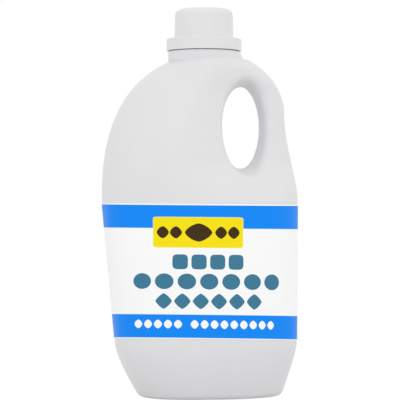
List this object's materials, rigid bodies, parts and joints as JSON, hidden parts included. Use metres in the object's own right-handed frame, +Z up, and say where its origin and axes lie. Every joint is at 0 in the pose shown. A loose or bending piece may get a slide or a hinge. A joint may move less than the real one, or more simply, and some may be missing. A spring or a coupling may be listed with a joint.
{
  "type": "dish soap bottle",
  "caption": "Flattened oval plastic jug with a moulded through handle, a front label band, a pour spout and a stepped screw-on dosing cap.",
  "frame": {"origin": "on the surface the jug stands on, under the middle of its body", "axes": "+Z up, -Y out of the labelled front, +X towards the handle"},
  "size_m": [0.1473, 0.0953, 0.2891],
  "materials": {
    "white_hdpe": "blow-moulded, soft satin",
    "label_film": "printed film, white with blue bands and a yellow plate",
    "soap": "clear pale yellow liquid",
    "natural_ldpe": "waxy, slightly milky",
    "seal_foam": "fine closed-cell foam",
    "white_pp": "injection-moulded, satin"
  },
  "bodies": {
    "jug": {"bottle": "white_hdpe", "label": "label_film", "dish_liquid": "soap", "pour_spout": "natural_ldpe"},
    "seal": {"seal_ring": "seal_foam"},
    "closure": {"cap": "white_pp"}
  },
  "joints": [
    {"name": "cap_rise", "type": "slide", "parent": "jug", "child": "seal", "axis": [0, 0, 1], "range_m": [0, 0.006]},
    {"name": "cap_turn", "type": "hinge", "parent": "seal", "child": "closure", "pos_m": [0.00315, 0, 0.27], "axis": [0, 0, 1], "range_deg": [0, 540]}
  ],
  "couplings": [
    {"joint": "cap_turn", "follows": "cap_rise", "rad_per_m": 1570.8}
  ]
}
